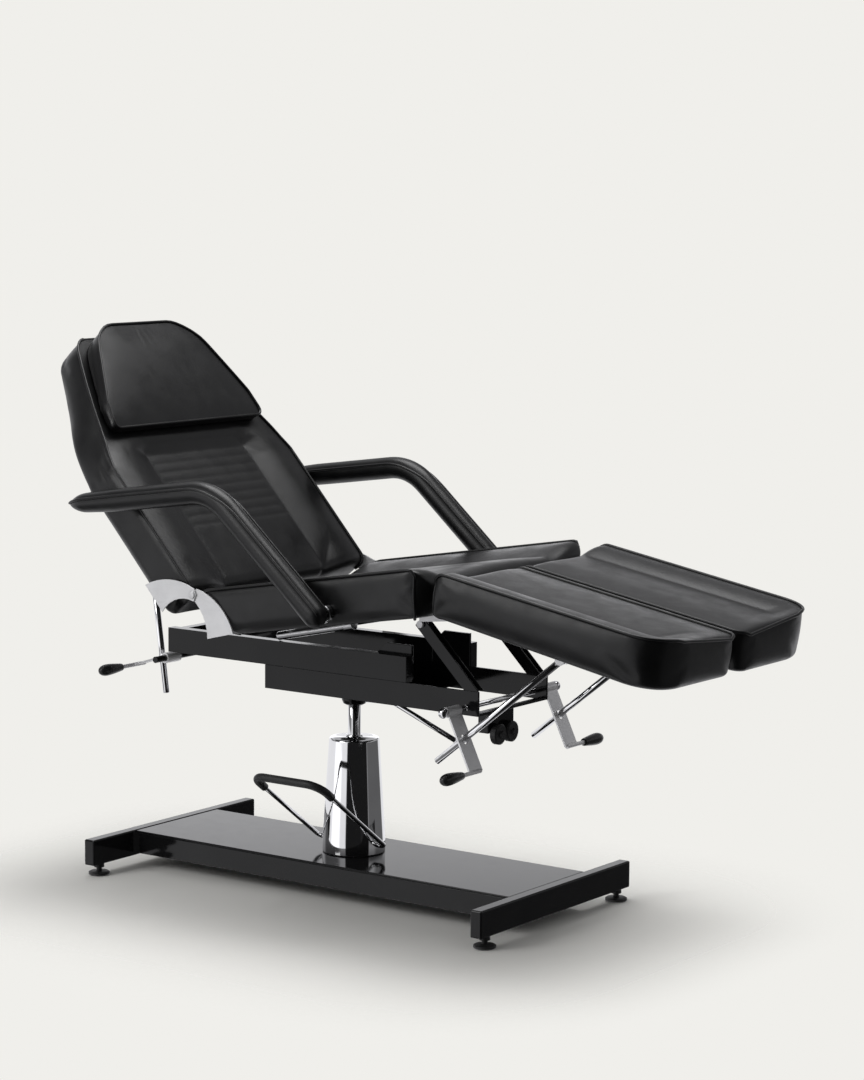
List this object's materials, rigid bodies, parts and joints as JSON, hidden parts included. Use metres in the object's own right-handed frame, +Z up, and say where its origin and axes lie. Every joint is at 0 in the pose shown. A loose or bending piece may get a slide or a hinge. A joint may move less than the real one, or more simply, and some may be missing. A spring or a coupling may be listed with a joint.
{
  "type": "podiatry chair",
  "caption": "Reclining podiatry chair on a pedal-pumped turning column, with quilted back, head pillow, split leg pads on jam rods, release handles and swing-up armrests.",
  "frame": {"origin": "on the floor, under the middle of the chair's overall box", "axes": "+X towards the foot end, +Y to the sitter's left, +Z up"},
  "size_m": [1.6258, 0.7276, 1.1819],
  "materials": {
    "black_vinyl": "semi-gloss black upholstery vinyl",
    "black_paint": "gloss black powder coat",
    "chrome": "mirror chrome",
    "satin_steel": "satin zinc-plated steel",
    "black_rubber": "matt black"
  },
  "bodies": {
    "base": {"base_bar_front": "black_paint", "base_bar_rear": "black_paint", "base_deck": "black_paint", "base_flange_right": "black_paint", "base_flange_left": "black_paint", "foot_front_right": "black_rubber", "foot_front_left": "black_rubber", "foot_rear_right": "black_rubber", "foot_rear_left": "black_rubber", "pump_cover": "chrome"},
    "pedal": {"pedal_bar": "chrome", "pedal_grip": "black_rubber"},
    "piston": {"piston_rod": "chrome"},
    "seat_frame": {"swivel_collar": "black_paint", "tray_floor": "black_paint", "tray_strap": "black_paint", "tray_wall_right": "black_paint", "tray_wall_left": "black_paint", "rail_right": "black_paint", "rail_left": "black_paint", "rail_rear": "black_paint", "rear_cross_bar": "black_paint", "front_cross_rod": "chrome", "strut_right": "black_paint", "strut_left": "black_paint", "clevis_right": "satin_steel", "clevis_left": "satin_steel", "seat_brace_right": "chrome", "seat_brace_left": "chrome", "clamp_block": "black_paint", "clamp_disc_right": "black_rubber", "clamp_disc_left": "black_rubber", "leg_hinge_bar": "satin_steel", "seat_cushion": "black_vinyl", "seat_plate_right": "satin_steel", "seat_plate_left": "satin_steel", "arm_pivot_right": "chrome", "arm_pivot_left": "chrome"},
    "brake": {"brake_lever": "chrome"},
    "backrest": {"back_cushion": "black_vinyl", "pillow": "black_vinyl", "back_plate_right": "satin_steel", "back_plate_left": "satin_steel", "back_bracket": "satin_steel"},
    "back_rod": {"back_rod": "chrome"},
    "back_release": {"back_jam_plate": "satin_steel", "back_release_knob": "black_rubber"},
    "leg_right": {"leg_pad_right": "black_vinyl", "leg_bracket_right": "satin_steel"},
    "leg_rod_right": {"leg_rod_right": "chrome"},
    "leg_release_right": {"leg_jam_plate_right": "satin_steel", "leg_release_knob_right": "black_rubber"},
    "arm_right": {"armrest_right": "black_vinyl"},
    "leg_left": {"leg_pad_left": "black_vinyl", "leg_bracket_left": "satin_steel"},
    "leg_rod_left": {"leg_rod_left": "chrome"},
    "leg_release_left": {"leg_jam_plate_left": "satin_steel", "leg_release_knob_left": "black_rubber"},
    "arm_left": {"armrest_left": "black_vinyl"}
  },
  "joints": [
    {"name": "lift", "type": "slide", "parent": "base", "child": "piston", "axis": [0, 0, 1], "range_m": [-0.055, 0.145]},
    {"name": "swivel", "type": "hinge", "parent": "piston", "child": "seat_frame", "pos_m": [-0.12001, 0, 0.41], "axis": [0, 0, 1], "continuous": true},
    {"name": "pedal_press", "type": "hinge", "parent": "base", "child": "pedal", "pos_m": [-0.12001, -0.005, 0.101], "axis": [1, 0, 0], "range_deg": [0, 28], "stiffness_Nm_per_rad": 3, "springref_deg": -11.46},
    {"name": "swivel_brake", "type": "hinge", "parent": "seat_frame", "child": "brake", "pos_m": [-0.09271, 0, 0.4075], "axis": [1, 0, 0], "range_deg": [-30, 30]},
    {"name": "back_recline", "type": "hinge", "parent": "seat_frame", "child": "backrest", "pos_m": [-0.30901, 0, 0.645], "axis": [0, -1, 0], "range_deg": [-12, 46]},
    {"name": "back_rod_turn", "type": "hinge", "parent": "backrest", "child": "back_rod", "pos_m": [-0.60701, -0.1, 0.749], "axis": [0, -1, 0], "range_deg": [-23.5, 6.5]},
    {"name": "back_unlock", "type": "hinge", "parent": "seat_frame", "child": "back_release", "pos_m": [-0.54201, -0.1, 0.466], "axis": [0, 1, 0], "range_deg": [0, 3], "stiffness_Nm_per_rad": 2, "springref_deg": -17.19},
    {"name": "leg_tilt_right", "type": "hinge", "parent": "seat_frame", "child": "leg_right", "pos_m": [0.27699, -0.173, 0.64], "axis": [0, 1, 0], "range_deg": [-20, 60]},
    {"name": "leg_rod_turn_right", "type": "hinge", "parent": "leg_right", "child": "leg_rod_right", "pos_m": [0.51599, -0.173, 0.5786], "axis": [0, 1, 0], "range_deg": [-30.5, 10.5]},
    {"name": "leg_unlock_right", "type": "hinge", "parent": "seat_frame", "child": "leg_release_right", "pos_m": [0.25399, -0.173, 0.447], "axis": [0, -1, 0], "range_deg": [0, 3], "stiffness_Nm_per_rad": 2, "springref_deg": -17.19},
    {"name": "arm_swing_right", "type": "hinge", "parent": "seat_frame", "child": "arm_right", "pos_m": [0.03699, -0.3395, 0.638], "axis": [0, 1, 0], "range_deg": [-15, 60]},
    {"name": "leg_tilt_left", "type": "hinge", "parent": "seat_frame", "child": "leg_left", "pos_m": [0.27699, 0.173, 0.64], "axis": [0, 1, 0], "range_deg": [-20, 60]},
    {"name": "leg_rod_turn_left", "type": "hinge", "parent": "leg_left", "child": "leg_rod_left", "pos_m": [0.51599, 0.173, 0.5786], "axis": [0, 1, 0], "range_deg": [-30.5, 10.5]},
    {"name": "leg_unlock_left", "type": "hinge", "parent": "seat_frame", "child": "leg_release_left", "pos_m": [0.25399, 0.173, 0.447], "axis": [0, -1, 0], "range_deg": [0, 3], "stiffness_Nm_per_rad": 2, "springref_deg": -17.19},
    {"name": "arm_swing_left", "type": "hinge", "parent": "seat_frame", "child": "arm_left", "pos_m": [0.03699, 0.3395, 0.638], "axis": [0, 1, 0], "range_deg": [-15, 60]}
  ],
  "couplings": [
    {"joint": "back_rod_turn", "follows": "back_recline", "ratio": -0.5},
    {"joint": "leg_rod_turn_right", "follows": "leg_tilt_right", "ratio": -0.5},
    {"joint": "leg_rod_turn_left", "follows": "leg_tilt_left", "ratio": -0.5}
  ]
}
